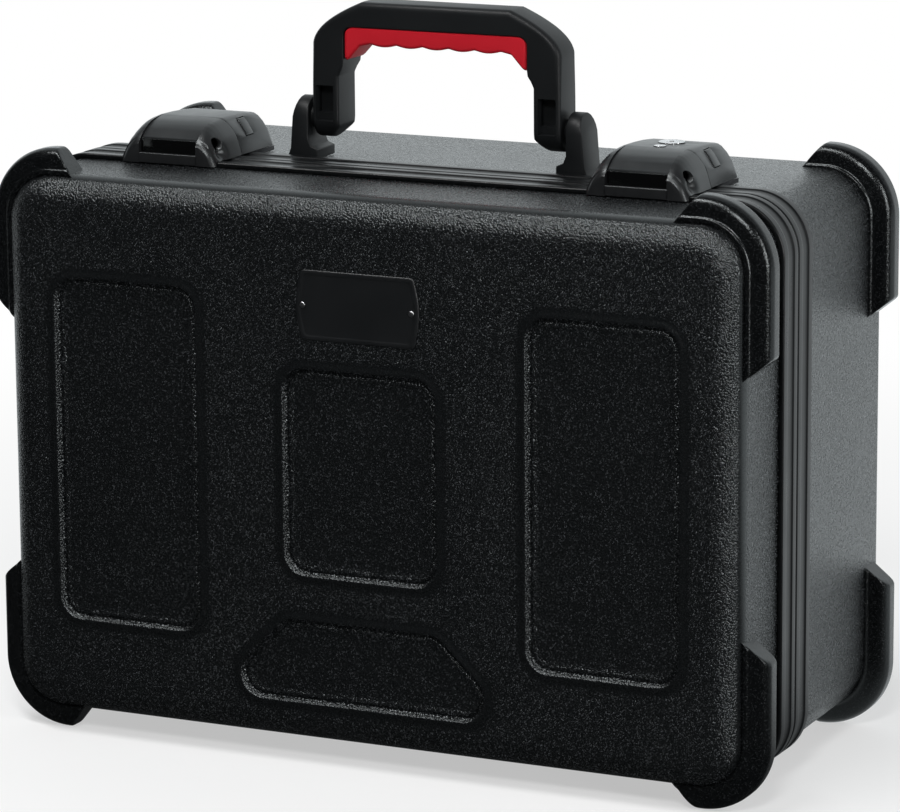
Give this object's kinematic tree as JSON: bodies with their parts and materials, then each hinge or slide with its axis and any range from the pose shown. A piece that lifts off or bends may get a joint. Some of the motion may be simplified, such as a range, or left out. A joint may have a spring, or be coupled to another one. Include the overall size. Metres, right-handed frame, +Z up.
{
  "type": "microphone case",
  "caption": "Moulded carrying case with corner bumpers, flip latches, a folding handle and foam with round drops for microphones; the lid swings forward on hinges under the case.",
  "frame": {"origin": "on the surface that the case stands on, under the middle of its box", "axes": "+X across the case to the right as seen from the lid, +Y from the lid to the base, +Z up"},
  "size_m": [0.5188, 0.2388, 0.4562],
  "materials": {
    "shell": "pebbled black",
    "valance": "satin black",
    "latch": "satin to gloss",
    "handle": "satin charcoal",
    "grip": "soft red",
    "badge": "satin black",
    "steel": "plain",
    "dark_steel": "blackened",
    "chrome": "polished",
    "seal": "matt",
    "foam": "open-cell foam"
  },
  "bodies": {
    "base": {"base_shell": "shell", "base_valance": "valance", "gasket": "seal", "foam_row_1": "foam", "foam_row_2": "foam", "foam_row_3": "foam", "foam_floor": "foam", "handle_bracket_left": "handle", "handle_pin_left": "steel", "latch_left_keeper": "dark_steel", "hinge_left_base_leaf": "dark_steel", "hinge_left_pin": "steel", "handle_bracket_right": "handle", "handle_pin_right": "steel", "latch_right_keeper": "dark_steel", "hinge_right_base_leaf": "dark_steel", "hinge_right_pin": "steel"},
    "lid": {"lid_shell": "shell", "lid_valance": "valance", "badge_plate": "badge", "lid_foam": "foam", "badge_rivet_left": "steel", "latch_left_housing": "latch", "latch_left_pin": "dark_steel", "hinge_left_lid_leaf": "dark_steel", "badge_rivet_right": "steel", "latch_right_housing": "latch", "latch_right_pin": "dark_steel", "hinge_right_lid_leaf": "dark_steel"},
    "handle": {"handle_frame": "handle", "handle_grip": "grip"},
    "latch_left_lever": {"latch_left_lever": "latch"},
    "latch_left_button_inner": {"latch_left_button_inner": "latch"},
    "latch_left_button_outer": {"latch_left_button_outer": "latch"},
    "latch_right_lever": {"latch_right_lever": "latch", "lock_indicator": "dark_steel"},
    "latch_right_button_inner": {"latch_right_button_inner": "latch"},
    "latch_right_button_outer": {"latch_right_button_outer": "latch"},
    "lock": {"lock_cylinder": "chrome"}
  },
  "joints": [
    {"name": "lid_hinge", "type": "hinge", "parent": "base", "child": "lid", "pos_m": [0, -0.03682, 0.00595], "axis": [1, 0, 0], "range_deg": [0, 100]},
    {"name": "handle_pivot", "type": "hinge", "parent": "base", "child": "handle", "pos_m": [0, 0.00337, 0.3828], "axis": [-1, 0, 0], "range_deg": [0, 90]},
    {"name": "latch_left_lever_pivot", "type": "hinge", "parent": "lid", "child": "latch_left_lever", "pos_m": [-0.157, -0.05362, 0.3698], "axis": [1, 0, 0], "range_deg": [0, 85]},
    {"name": "latch_left_button_inner_slide", "type": "slide", "parent": "latch_left_lever", "child": "latch_left_button_inner", "axis": [-1, 0, 0], "range_m": [0, 0.0022], "stiffness_N_per_m": 400, "springref_m": -0.002},
    {"name": "latch_left_button_outer_slide", "type": "slide", "parent": "latch_left_lever", "child": "latch_left_button_outer", "axis": [1, 0, 0], "range_m": [0, 0.0022], "stiffness_N_per_m": 400, "springref_m": -0.002},
    {"name": "latch_right_lever_pivot", "type": "hinge", "parent": "lid", "child": "latch_right_lever", "pos_m": [0.157, -0.05362, 0.3698], "axis": [1, 0, 0], "range_deg": [0, 85]},
    {"name": "latch_right_button_inner_slide", "type": "slide", "parent": "latch_right_lever", "child": "latch_right_button_inner", "axis": [1, 0, 0], "range_m": [0, 0.0022], "stiffness_N_per_m": 400, "springref_m": -0.002},
    {"name": "latch_right_button_outer_slide", "type": "slide", "parent": "latch_right_lever", "child": "latch_right_button_outer", "axis": [-1, 0, 0], "range_m": [0, 0.0022], "stiffness_N_per_m": 400, "springref_m": -0.002},
    {"name": "lock_turn", "type": "hinge", "parent": "latch_right_lever", "child": "lock", "pos_m": [0.157, -0.00863, 0.3798], "axis": [0, 0, 1], "range_deg": [0, 90]}
  ]
}
